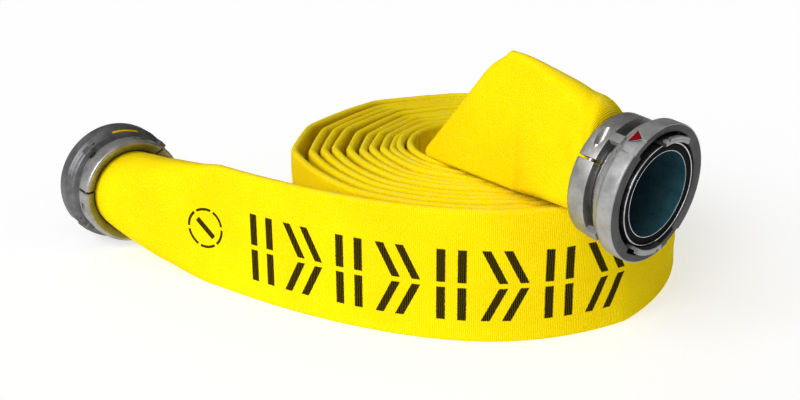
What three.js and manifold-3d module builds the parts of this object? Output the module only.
// A lay-flat fire hose rolled on its edge, with a swivelling lug coupling on each end.
// Millimetres, +Z up. The hose is one woven piece, modelled as four runs that meet face to face:
// the roll, the outer end, the folded inner end and the inner end's last stretch.
import * as THREE from "three";
import { mergeVertices } from "three/addons/utils/BufferGeometryUtils.js";
import Module from "manifold-3d";

const wasm = await Module();
wasm.setup();

// Driving dimensions
const clearance = 0.3;
const hoseWidth = 170;              // lay-flat width
const hoseThickness = 11;           // both plies, lying flat
const hoseWall = 3.6;               // one ply: jackets and lining
const rollPitch = 13.95;            // from one turn to the next
const rollTurns = 10.69;
const sideSlack = 10;               // how much wider the last turn lies at the roll's sides
const innerTurnRadius = 97;         // centre of the hose at the start of the first turn
const innerTurnAngle = 157;         // where the first turn starts, degrees from +X
const foldRadius = 7;               // of the hose's middle, round a crease
const foldAngle = 49;               // of the upper crease, from the horizontal
const flapHeading = -51;            // direction of the folded end, degrees from +X
const flapGap = 1;                  // under the folded end, above the roll
const flapRun = 12.2;               // of its flat stretch past the top of the upper crease
const flapSetback = 93.5;           // from the roll's axis to the middle of the flap
const foldLead = 20;                // of the hose before the lower crease
const lowerCreaseLift = 11;         // keeps the lower crease off the floor
const upperCreaseStart = 1.3;       // along the flap
const throatSetback = 4;            // of the rising leaf, from the first turn's middle
const throatBow = 34;
const throatSweep = 62;             // degrees of the hollow's wall that the rising leaf covers
const leanHeight = 20;              // least height over which it leans out to the flap
const leanShare = 0.2;              // its last share, which leans whatever its height
const outerReach = 269.9;           // outer coupling's rim, out to the left of the roll
const outerAdvance = 350.1;         // and back from the roll's front
const innerReach = 119;             // inner coupling's rim, out from the roll
const innerBearing = -62.5;         // degrees from +X
const innerLift = 47.5;             // above the roll

const boreRadius = 49.5;            // waterway
const headRadius = 81;
const headDepth = 35;               // from the rim to the back of the swivel head
const headBackInset = 14;           // from the rim's radius to the back's
const headBackLand = 3;             // the straight edge round its back
const headShoulder = 9;             // from its back to the top of the back's curve
const headShoulderInset = 4;
const rimBevel = 1.5;
const rimStepDepth = 2.5;           // of the finger notches in the rim
const lipRadius = 66;               // inside of the rim's front lip
const lipDepth = 6;
const recessRadius = 72;
const recessDepth = 20;
const flangeRadius = 60.6;          // front flange of the tailpiece
const flangeRise = 2;               // how far it stands in front of the rim
const neckRadius = 56.8;            // the head turns on it
const shoulderFront = 22;
const shoulderBack = 29;            // the snap ring bears here
const snapRingDepth = 2.6;
const snapRingOuter = 59.6;
const grooveRadius = 54.3;
const gasketInner = 51;
const gasketOuter = 58.6;
const gasketSeat = 4;               // depth of the seat behind the rim
const gasketHeight = 5.4;
const gasketCrown = 1;              // how much higher its middle is than its edges
const lipSeatRadius = 54;           // of the groove that holds the collar's lip
const ribRadius = 57.6;
const ribLength = 2.7;
const barbCount = 2;
const barbDepth = 0.8;
const barbSlope = 0.8;              // share of a barb's pitch that slopes
const barbMargin = 0.25;            // share of a pitch left plain at both ends
const shankOverhang = 2;            // behind the collar
const collarFront = 44;             // behind the rim
const collarLip = 2.2;
const collarLength = 24;
const collarWall = 16.4;            // out from the hose
const collarMouthWall = 11.9;       // out from the hose to the flared mouth's edge
const collarMouthDepth = 8;
const collarEdgeRise = 2;           // of the rounded back edge, in radius
const collarEdgeDepth = 4;
const collarSplit = 3;              // gap between two collar segments
const segmentCount = 3;
const snapRingGap = 12;             // degrees
const boltSeat = 9.4;               // from the hose to the bolts' middles
const boltRadius = 3;
const boltHeadRadius = 5;
const boltHeadLength = 6;
const boltReach = 12;               // from the split to the bolt head's seat
const boltEngagement = 16;          // into the far segment
const boltDepth = 0.4;              // share of the collar's length, from its front
const clawSweep = 40;               // degrees
const clawRise = 9;                 // in front of the rim
const clawThickness = 4;
const hookReach = 7;
const hookThickness = 5;
const clawRoot = 1;                 // how far a claw is let into the head
const lipGapBefore = 6;             // degrees from a claw to the ends of the gap beside it
const lipGapAfter = 28;
const rimStepStart = 17;            // degrees past a claw
const rimStepEnd = 32;
const gapMargin = 5;                // a cutter runs past what it cuts
const blockTurn = 43;               // degrees from a claw to the next block
const blockSink = 6;                // from the rim's radius to the middle of a block
const blockCount = 4;
const blockWidth = 11;
const blockHeight = 9;
const blockLength = 15;
const roundSteps = 36;

// Worked out from them
const halfWidth = hoseWidth / 2;
const halfThickness = hoseThickness / 2;
const hosePerimeter = 4 * (halfWidth - halfThickness) + 2 * Math.PI * halfThickness;
const roundHoseRadius = hosePerimeter / (2 * Math.PI);
const hoseBoreRadius = roundHoseRadius - hoseWall;
const shankRadius = hoseBoreRadius - clearance;
const collarRadius = roundHoseRadius + collarWall;
const collarMouthRadius = roundHoseRadius + collarMouthWall;
const boltCircle = roundHoseRadius + boltSeat;
const restingHeight = Math.max(headRadius, collarRadius);
const collarBack = collarFront + collarLength;
const hoseEnd = collarFront + collarLip + 2 * clearance;
const shankEnd = collarBack + shankOverhang;
const outerTurnRadius = innerTurnRadius + rollPitch * rollTurns;
const flapLift = hoseWidth + flapGap;
const flapReach = hoseWidth / Math.tan(foldAngle * Math.PI / 180) + flapRun;

const radians = THREE.MathUtils.degToRad;
const vector = (x, y, z) => new THREE.Vector3(x, y, z);
const up = vector(0, 0, 1);
const inPlan = (angle, radius = 1, z = 0) => vector(radius * Math.cos(angle), radius * Math.sin(angle), z);
const smooth = (t) => THREE.MathUtils.smoothstep(t, 0, 1);

// Where each coupling's rim is, from the roll's axis, and which way it faces. Both keep their
// distance from the roll's outside, the outer one resting on the floor and the inner one above
// the roll's rim. A tilt below zero points the mouth down.
const couplings = {
  outer: {
    centre: vector(-outerTurnRadius - outerReach, outerAdvance - outerTurnRadius, restingHeight),
    heading: 126, tilt: 0, clawAngle: 97, splitAngle: 10,
  },
  inner: {
    centre: inPlan(radians(innerBearing), outerTurnRadius + innerReach, hoseWidth + innerLift),
    heading: -46, tilt: -6, clawAngle: 81, splitAngle: 148,
  },
};

// How the hose opens from flat to round behind each collar: over what length, how suddenly, and
// how far its curve keeps straight at both ends, as a share of the distance.
const flares = {
  outer: { length: 190, power: 1.2, straight: 0.29 },
  inner: { length: 112, power: 2, straight: 0.36 },
};

// A round part cut to clear another round one needs its flats outside the other's corners.
const around = (radius) => radius / Math.cos(Math.PI / roundSteps);

const paint = {
  weave: { color: 0xf2dc00, roughness: 0.85, metalness: 0 },
  cast: { color: 0x77777a, roughness: 0.45, metalness: 0.85 },
  machined: { color: 0x9b9b9f, roughness: 0.35, metalness: 0.9 },
  steel: { color: 0xb9babd, roughness: 0.25, metalness: 1 },
  rubber: { color: 0x111111, roughness: 0.7, metalness: 0 },
};

const group = new THREE.Group();

function addMesh(parent, name, geometry, look) {
  const mesh = new THREE.Mesh(geometry, new THREE.MeshStandardMaterial(paint[look]));
  mesh.name = name;
  parent.add(mesh);
}

// --- Solids -------------------------------------------------------------------------------

function toManifold(geometry) {
  const bare = geometry.clone();
  bare.deleteAttribute("normal");
  bare.deleteAttribute("uv");
  const merged = mergeVertices(bare, 1e-4);
  const mesh = new wasm.Mesh({
    numProp: 3,
    vertProperties: new Float32Array(merged.attributes.position.array),
    triVerts: new Uint32Array(merged.index.array),
  });
  return new wasm.Manifold(mesh);
}

function toGeometry(solid) {
  const mesh = solid.getMesh();
  const geometry = new THREE.BufferGeometry();
  geometry.setAttribute("position", new THREE.BufferAttribute(mesh.vertProperties, 3));
  geometry.setIndex(new THREE.BufferAttribute(mesh.triVerts, 1));
  return geometry;
}

// A closed outline of [radius, z] points, turned about Z. The outline runs counter-clockwise
// with radius to the right and z up.
function turned(outline, steps = roundSteps) {
  const points = [...outline, outline[0]].map(([radius, z]) => new THREE.Vector2(radius, z));
  return new THREE.LatheGeometry(points, steps).rotateX(Math.PI / 2);
}

// A sector of an annulus from angle start to end, in degrees, between two heights.
function sector(innerRadius, outerRadius, start, end, low, high) {
  const shape = new THREE.Shape();
  shape.absarc(0, 0, outerRadius, radians(start), radians(end), false);
  shape.absarc(0, 0, innerRadius, radians(end), radians(start), true);
  const settings = { depth: high - low, bevelEnabled: false, curveSegments: 5 };
  return new THREE.ExtrudeGeometry(shape, settings).translate(0, 0, low);
}

// A closed skin over a list of rings with the same number of points each.
function skinned(rings) {
  const size = rings[0].length;
  const positions = rings.flat().flatMap((point) => point.toArray());
  const index = [];
  for (let i = 0; i < rings.length - 1; i += 1) {
    for (let j = 0; j < size; j += 1) {
      const a = i * size + j;
      const b = i * size + (j + 1) % size;
      index.push(a, b, a + size, b, b + size, a + size);
    }
  }
  const last = (rings.length - 1) * size;
  for (let j = 1; j < size - 1; j += 1) {
    index.push(0, j + 1, j, last, last + j, last + j + 1);
  }
  const geometry = new THREE.BufferGeometry();
  geometry.setAttribute("position", new THREE.Float32BufferAttribute(positions, 3));
  geometry.setIndex(index);
  return geometry;
}

// --- The hose -----------------------------------------------------------------------------

// A hose keeps its perimeter as it opens from flat to round.
const openedHalfThickness = (width) => (hosePerimeter / 4 - width) / (Math.PI / 2 - 1);

// Outline of the hose across its width: two half rounds joined by straight plies.
// Each point is [along the width, along the thickness].
function hoseSection(width, thickness, sideSteps) {
  const points = [];
  for (let i = 0; i < 2 * sideSteps; i += 1) {
    const angle = Math.PI * ((i + 0.5) / sideSteps - 0.5);
    const side = i < sideSteps ? 1 : -1;
    points.push([side * (width - thickness) + thickness * Math.cos(angle), thickness * Math.sin(angle)]);
  }
  return points;
}

// The section placed across a heading: the width along `across`, the thickness along `normal`.
function placeSection(section, centre, across, normal) {
  return section.map(([w, d]) => centre.clone().addScaledVector(across, w).addScaledVector(normal, d));
}

// The spiral stands on its edge and runs clockwise outwards, seen from above.
function rollCentre(turn) {
  const angle = radians(innerTurnAngle) - 2 * Math.PI * turn;
  const slack = sideSlack * turn / rollTurns * Math.cos(angle) ** 2;
  return { angle, radius: innerTurnRadius + rollPitch * turn + slack };
}

function hoseRoll() {
  const stepsPerTurn = 32;
  const section = [
    [halfWidth, -halfThickness], [halfWidth, halfThickness],
    [-halfWidth, halfThickness], [-halfWidth, -halfThickness],
  ];
  const steps = Math.round(rollTurns * stepsPerTurn);
  const rings = [];
  for (let i = 0; i <= steps; i += 1) {
    const { angle, radius } = rollCentre(rollTurns * i / steps);
    rings.push(placeSection(section, inPlan(angle, radius, halfWidth), up, inPlan(angle + Math.PI)));
  }
  return skinned(rings);
}

// Where a coupling's axis meets its collar, and which way the axis points.
function couplingFrame({ centre, heading, tilt }) {
  const axis = inPlan(radians(heading), Math.cos(radians(tilt)), Math.sin(radians(tilt)));
  const sideways = inPlan(radians(heading) + Math.PI / 2);
  const behind = (distance) => centre.clone().addScaledVector(axis, -distance);
  return { axis, sideways, centre, behind, upward: axis.clone().cross(sideways) };
}

// The hose's half width at a distance behind the collar.
function flaredHalfWidth(distance, { length, power }) {
  const left = 1 - THREE.MathUtils.clamp(distance / length, 0, 1);
  return roundHoseRadius + (halfWidth - roundHoseRadius) * (1 - left ** power);
}

// A curve from a flat start, leaving along a direction, to the back of a collar.
function endPath(start, leaving, frame, straight) {
  const end = frame.behind(collarBack);
  const reach = start.distanceTo(end) * straight;
  const afterStart = start.clone().addScaledVector(leaving, reach);
  const beforeEnd = end.clone().addScaledVector(frame.axis, -reach);
  return new THREE.CubicBezierCurve3(start, afterStart, beforeEnd, end);
}

// A hose end from a flat start to the round end under the collar, hollow for the shank.
function hoseEndRun(path, frame, flare, floor) {
  const sideSteps = 9;
  const pathSteps = 16;
  const ringCrowding = 0.3;         // towards both ends
  const outside = [];
  const inside = [];
  const pathLength = path.getLength();
  const lining = roundHoseRadius - hoseBoreRadius / Math.cos(Math.PI / (2 * sideSteps));
  const place = (centre, tangent, distance, shrink) => {
    const width = flaredHalfWidth(distance, flare);
    const thickness = Math.max(openedHalfThickness(width), halfThickness);
    const across = frame.upward.clone().lerp(up, smooth(distance / flare.length));
    across.addScaledVector(tangent, -across.dot(tangent)).normalize();
    const section = hoseSection(width - shrink, thickness - shrink, sideSteps);
    const resting = centre.clone().setZ(Math.max(centre.z, floor + width));
    return placeSection(section, distance > 0 ? resting : centre, across, tangent.clone().cross(across));
  };
  const thickEnough = (distance) => openedHalfThickness(flaredHalfWidth(distance, flare)) > 2 * hoseWall;
  for (let i = 0; i <= pathSteps; i += 1) {
    const t = THREE.MathUtils.lerp(i / pathSteps, smooth(i / pathSteps), ringCrowding);
    const distance = pathLength * (1 - t);
    const centre = path.getPointAt(t);
    const tangent = path.getTangentAt(t);
    outside.push(place(centre, tangent, distance, 0));
    if (thickEnough(distance)) {
      inside.unshift(place(centre, tangent, distance, lining));
    }
  }
  const end = frame.behind(hoseEnd);
  const ringAtEnd = (shrink) => place(end, frame.axis, 0, shrink);
  return skinned([...outside, ringAtEnd(0), ringAtEnd(lining), ...inside]);
}

function outerEnd() {
  const frame = couplingFrame(couplings.outer);
  const { angle, radius } = rollCentre(rollTurns);
  const leaving = inPlan(angle - Math.PI / 2);
  const start = inPlan(angle, radius, halfWidth).addScaledVector(leaving, clearance);
  const path = endPath(start, leaving, frame, flares.outer.straight);
  return hoseEndRun(path, frame, flares.outer, 0);
}

// The folded end stands in one upright plane. `along` runs with its heading from the point
// nearest the roll's axis, `height` is from the floor and `setback` is from the roll's axis.
const flapAlong = inPlan(radians(flapHeading));
const flapFront = inPlan(radians(flapHeading) - Math.PI / 2);
function onFlap(along, height, setback) {
  return flapAlong.clone().multiplyScalar(along).addScaledVector(flapFront, setback).setZ(height);
}

function innerEnd() {
  const frame = couplingFrame(couplings.inner);
  const start = onFlap(flapReach + clearance, flapLift + halfWidth, flapSetback);
  const path = endPath(start, flapAlong, frame, flares.inner.straight);
  return hoseEndRun(path, frame, flares.inner, flapLift);
}

// The inner end doubles back on itself twice. It runs on round the hollow's wall, folds at a
// slant to rise out of the hollow, and folds at a slant again to stand on top of the roll.
// `length` is along the hose and `across` is from its middle line. Each crease is a slanting
// line on the hose, so both turns are half rounds about a slanting axis.
const creaseAngle = radians(foldAngle);
const wrap = Math.PI / 2 * foldRadius * Math.SQRT2;
const throatRadius = innerTurnRadius - throatSetback - 2 * foldRadius;
const foldedLength = flapReach - upperCreaseStart + foldLead + 4 * wrap + hoseWidth;

// The spiral carries on inwards past the first turn's start.
const wallRadius = (angle) => innerTurnRadius - rollPitch * (angle - radians(innerTurnAngle)) / (2 * Math.PI);

function lowerCrease(rise) {
  const angle = radians(innerTurnAngle) + (clearance + foldLead + rise) / innerTurnRadius;
  const height = THREE.MathUtils.lerp(lowerCreaseLift, hoseWidth, rise / hoseWidth);
  const point = inPlan(angle, wallRadius(angle) - foldRadius, height);
  const away = inPlan(angle + Math.PI / 2).sub(up).normalize();
  return { angle, point, outward: inPlan(angle), away };
}

function upperCrease(rise) {
  const along = upperCreaseStart + rise / Math.tan(creaseAngle);
  const point = onFlap(along, flapLift + rise, flapSetback - foldRadius);
  const away = flapAlong.clone().multiplyScalar(-Math.sin(creaseAngle)).addScaledVector(up, Math.cos(creaseAngle));
  return { point, outward: flapFront.clone().negate(), away };
}

// Half a turn round a crease, with `bend` from -90 to 90 degrees.
function roundCrease({ point, outward, away }, bend) {
  return point.addScaledVector(away, foldRadius * Math.cos(bend))
    .addScaledVector(outward, -foldRadius * Math.sin(bend));
}

// The leaf between the creases: it climbs the hollow's wall, gathered into a bow, and leans
// out over the rim to the back of the flap.
function risingLeaf(rise, t) {
  const lower = lowerCrease(rise);
  const upper = upperCrease(rise);
  const share = rise / hoseWidth;
  const rim = hoseWidth + halfThickness;
  const height = THREE.MathUtils.lerp(lower.point.z, upper.point.z, t);
  const climbed = smooth((height - lower.point.z) / Math.max(rim - lower.point.z, 1));
  const throatAngle = radians(270 + flapHeading + throatSweep * share);
  const angle = THREE.MathUtils.lerp(lower.angle, throatAngle, climbed);
  const bow = throatBow * 4 * share * (1 - share) * smooth(height / rim);
  const inHollow = inPlan(angle, throatRadius - bow, height);
  const behindFlap = upper.point.clone().addScaledVector(flapFront, -foldRadius).setZ(height);
  const leaning = smooth((height - rim) / Math.max(upper.point.z - rim, leanHeight));
  return inHollow.lerp(behindFlap, Math.max(leaning, smooth((t - 1 + leanShare) / leanShare)));
}

// The hose's middle surface, from the end of the first turn to the flat end of the fold.
// `length` runs along the hose and `rise` across it, from its lower edge.
function foldedSurface(length, rise) {
  const lowerAt = foldLead + wrap + rise;
  const upperAt = foldLead + 3 * wrap + hoseWidth + rise / Math.tan(creaseAngle);
  const toLower = lowerAt - wrap;
  if (length <= toLower) {
    const { angle, point } = lowerCrease(rise);
    const turn = angle - (toLower - length) / innerTurnRadius;
    return inPlan(turn, wallRadius(turn), THREE.MathUtils.lerp(rise, point.z, length / toLower));
  }
  if (length < lowerAt + wrap) {
    return roundCrease(lowerCrease(rise), (length - lowerAt) / wrap * Math.PI / 2);
  }
  if (length <= upperAt - wrap) {
    return risingLeaf(rise, (length - lowerAt - wrap) / (upperAt - lowerAt - 2 * wrap));
  }
  const upper = upperCrease(rise);
  if (length < upperAt + wrap) {
    return roundCrease(upper, (length - upperAt) / wrap * Math.PI / 2);
  }
  return upper.point.addScaledVector(flapFront, foldRadius).addScaledVector(flapAlong, length - upperAt - wrap);
}

// One ring of the folded run: the hose's section laid on its middle surface.
function foldedRing(length) {
  const widthSteps = 10;
  const step = 0.5;
  const flat = hoseWidth - 2 * halfThickness;
  const ring = [];
  const lay = (rise, outwards, offset) => {
    const centre = foldedSurface(length, rise);
    const across = foldedSurface(length, rise + step).sub(foldedSurface(length, rise - step)).normalize();
    const after = foldedSurface(Math.min(length + step, foldedLength), rise);
    const along = after.sub(foldedSurface(Math.max(length - step, 0), rise));
    const normal = along.cross(across).normalize();
    ring.push(centre.addScaledVector(across, outwards).addScaledVector(normal, offset));
  };
  lay(hoseWidth - halfThickness, halfThickness, 0);
  for (let i = widthSteps; i >= 0; i -= 1) {
    lay(halfThickness + flat * i / widthSteps, 0, halfThickness);
  }
  lay(halfThickness, -halfThickness, 0);
  for (let i = 0; i <= widthSteps; i += 1) {
    lay(halfThickness + flat * i / widthSteps, 0, -halfThickness);
  }
  return ring;
}

function innerFold() {
  const steps = 38;
  return skinned(Array.from({ length: steps + 1 }, (_, i) => foldedRing(foldedLength * i / steps)));
}

// --- The couplings ------------------------------------------------------------------------
// Each is built about its own Z, which points out of its mouth, from the plane of its rim.

function tailpiece() {
  const barbs = [];
  const barbPitch = (shankEnd - hoseEnd) / (barbCount + 2 * barbMargin);
  for (let i = 0; i < barbCount; i += 1) {
    const back = -shankEnd + barbPitch * (i + barbMargin);
    barbs.push([shankRadius - barbDepth, back], [shankRadius, back + barbPitch * barbSlope]);
  }
  return turned([
    [boreRadius, -shankEnd],
    ...barbs,
    [shankRadius, -hoseEnd + clearance],
    [lipSeatRadius, -hoseEnd + clearance],
    [lipSeatRadius, -collarFront + clearance],
    [ribRadius, -collarFront + clearance],
    [ribRadius, -collarFront + clearance + ribLength],
    [neckRadius, -collarFront + clearance + ribLength],
    [neckRadius, -shoulderBack - snapRingDepth - 2 * clearance],
    [grooveRadius, -shoulderBack - snapRingDepth - 2 * clearance],
    [grooveRadius, -shoulderBack],
    [neckRadius, -shoulderBack],
    [neckRadius, -shoulderFront + clearance],
    [flangeRadius, -shoulderFront + clearance],
    [flangeRadius, flangeRise],
    [gasketOuter, flangeRise],
    [gasketOuter, -gasketSeat],
    [gasketInner, -gasketSeat],
    [gasketInner, flangeRise / 2],
    [boreRadius, flangeRise / 2],
  ]);
}

function gasket() {
  const bottom = -gasketSeat + clearance;
  const middle = (gasketInner + gasketOuter) / 2;
  const top = -gasketSeat + gasketHeight;
  return turned([
    [around(gasketInner) + clearance, bottom],
    [gasketOuter - clearance, bottom],
    [gasketOuter - clearance, top - gasketCrown],
    [middle, top],
    [around(gasketInner) + clearance, top - gasketCrown],
  ]);
}

function snapRing() {
  const ring = turned([
    [around(grooveRadius + clearance), -shoulderBack - clearance - snapRingDepth],
    [snapRingOuter, -shoulderBack - clearance - snapRingDepth],
    [snapRingOuter, -shoulderBack - clearance],
    [around(grooveRadius + clearance), -shoulderBack - clearance],
  ]);
  const gap = sector(
    grooveRadius - gapMargin, snapRingOuter + gapMargin, -snapRingGap / 2, snapRingGap / 2, -headDepth, 0,
  );
  return toGeometry(toManifold(ring).subtract(toManifold(gap)));
}

// The locking ring: it turns on the tailpiece, and its two hooked claws catch behind the lip
// of the coupling it is joined to, which they enter through the gaps beside its own claws.
function swivelHead(clawAngle) {
  const body = turned([
    [lipRadius, -lipDepth],
    [recessRadius, -lipDepth],
    [recessRadius, -recessDepth],
    [around(flangeRadius + clearance), -recessDepth],
    [around(flangeRadius + clearance), -shoulderFront],
    [around(neckRadius + clearance), -shoulderFront],
    [around(neckRadius + clearance), -shoulderBack],
    [around(snapRingOuter + clearance), -shoulderBack],
    [around(snapRingOuter + clearance), -headDepth],
    [headRadius - headBackInset, -headDepth],
    [headRadius - headBackInset, -headDepth + headBackLand],
    [headRadius - headShoulderInset, -headDepth + headShoulder],
    [headRadius, -recessDepth],
    [headRadius, -rimBevel],
    [headRadius - rimBevel, 0],
    [lipRadius, 0],
  ]);
  let solid = toManifold(body);
  const stemInner = around(flangeRadius + clearance) + clawRoot;
  for (const angle of [clawAngle, clawAngle + 180]) {
    const start = angle - clawSweep / 2;
    const end = angle + clawSweep / 2;
    const gap = sector(
      lipRadius - gapMargin, recessRadius, start - lipGapBefore, end + lipGapAfter, -recessDepth / 2, gapMargin,
    );
    const step = sector(
      headRadius - rimStepDepth, headRadius + gapMargin, end + rimStepStart, end + rimStepEnd, -lipDepth, gapMargin,
    );
    const stem = sector(stemInner, stemInner + clawThickness, start, end, -recessDepth - clawRoot, clawRise);
    const hook = sector(
      stemInner + clawRoot, stemInner + hookReach, start, end, clawRise - hookThickness, clawRise,
    );
    solid = solid.subtract(toManifold(gap)).subtract(toManifold(step));
    solid = solid.add(toManifold(stem)).add(toManifold(hook));
  }
  for (let i = 0; i < blockCount; i += 1) {
    const angle = clawAngle + blockTurn + 360 * i / blockCount;
    const block = new THREE.BoxGeometry(blockHeight, blockWidth, blockLength);
    block.translate(headRadius - blockSink, 0, -headDepth + headBackLand).rotateZ(radians(angle));
    solid = solid.add(toManifold(block));
  }
  return toGeometry(solid);
}

// A round cutter or bolt lying along the tangent at an angle, `from` and `to` measured from
// the split towards growing angles.
function tangentTurned(outline, angle) {
  const steps = 12;
  const height = -collarFront - collarLength * boltDepth;
  return turned(outline, steps).rotateX(-Math.PI / 2).translate(boltCircle, 0, height).rotateZ(radians(angle));
}

function rod(radius, from, to) {
  return [[0, from], [radius, from], [radius, to], [0, to]];
}

function collarSegment(splitAngle, index) {
  const inner = around(roundHoseRadius + clearance);
  const ring = turned([
    [inner, -collarBack + collarMouthDepth],
    [collarMouthRadius, -collarBack],
    [collarRadius - collarEdgeRise, -collarBack],
    [collarRadius, -collarBack + collarEdgeDepth],
    [collarRadius, -collarFront],
    [around(lipSeatRadius + clearance), -collarFront],
    [around(lipSeatRadius + clearance), -collarFront - collarLip],
    [inner, -collarFront - collarLip],
  ]);
  const sweep = 360 / segmentCount;
  const start = splitAngle + sweep * index;
  const halfSplit = THREE.MathUtils.radToDeg(Math.atan(collarSplit / 2 / boltCircle));
  const wedge = sector(
    grooveRadius / 2, collarRadius + gapMargin, start + halfSplit, start + sweep - halfSplit,
    -collarBack - gapMargin, 0,
  );
  let solid = toManifold(ring).intersect(toManifold(wedge));
  for (const angle of [start, start + sweep]) {
    const hole = rod(boltRadius + 2 * clearance, -boltReach, boltEngagement + clearance);
    const counterbore = rod(boltHeadRadius + 2 * clearance, -collarRadius, -boltReach + clearance);
    solid = solid.subtract(toManifold(tangentTurned(hole, angle)));
    solid = solid.subtract(toManifold(tangentTurned(counterbore, angle)));
  }
  return toGeometry(solid);
}

function collarBolt(angle) {
  return tangentTurned([
    [0, -boltReach - boltHeadLength],
    [boltHeadRadius, -boltReach - boltHeadLength],
    [boltHeadRadius, -boltReach],
    [boltRadius, -boltReach],
    [boltRadius, boltEngagement],
    [0, boltEngagement],
  ], angle);
}

function addCoupling(side, settings) {
  const { axis, sideways, upward, centre } = couplingFrame(settings);
  const coupling = new THREE.Group();
  coupling.quaternion.setFromRotationMatrix(new THREE.Matrix4().makeBasis(sideways, upward, axis));
  coupling.position.copy(centre);
  addMesh(coupling, `${side}_tailpiece`, tailpiece(), "machined");
  addMesh(coupling, `${side}_gasket`, gasket(), "rubber");
  addMesh(coupling, `${side}_snap_ring`, snapRing(), "steel");
  addMesh(coupling, `${side}_swivel_head`, swivelHead(settings.clawAngle), "cast");
  for (let i = 0; i < segmentCount; i += 1) {
    const angle = settings.splitAngle + 360 * i / segmentCount;
    addMesh(coupling, `${side}_collar_segment_${i + 1}`, collarSegment(settings.splitAngle, i), "cast");
    addMesh(coupling, `${side}_collar_bolt_${i + 1}`, collarBolt(angle), "steel");
  }
  group.add(coupling);
}

addMesh(group, "hose_roll", hoseRoll(), "weave");
addMesh(group, "hose_outer_end", outerEnd(), "weave");
addMesh(group, "hose_inner_fold", innerFold(), "weave");
addMesh(group, "hose_inner_end", innerEnd(), "weave");
for (const [side, settings] of Object.entries(couplings)) {
  addCoupling(side, settings);
}

// The origin is under the middle of the whole object, on the floor.
group.updateMatrixWorld(true);
const bounds = new THREE.Box3().setFromObject(group, true);
const middle = bounds.getCenter(vector(0, 0, 0));
group.position.set(-middle.x, -middle.y, -bounds.min.z);

export default group;
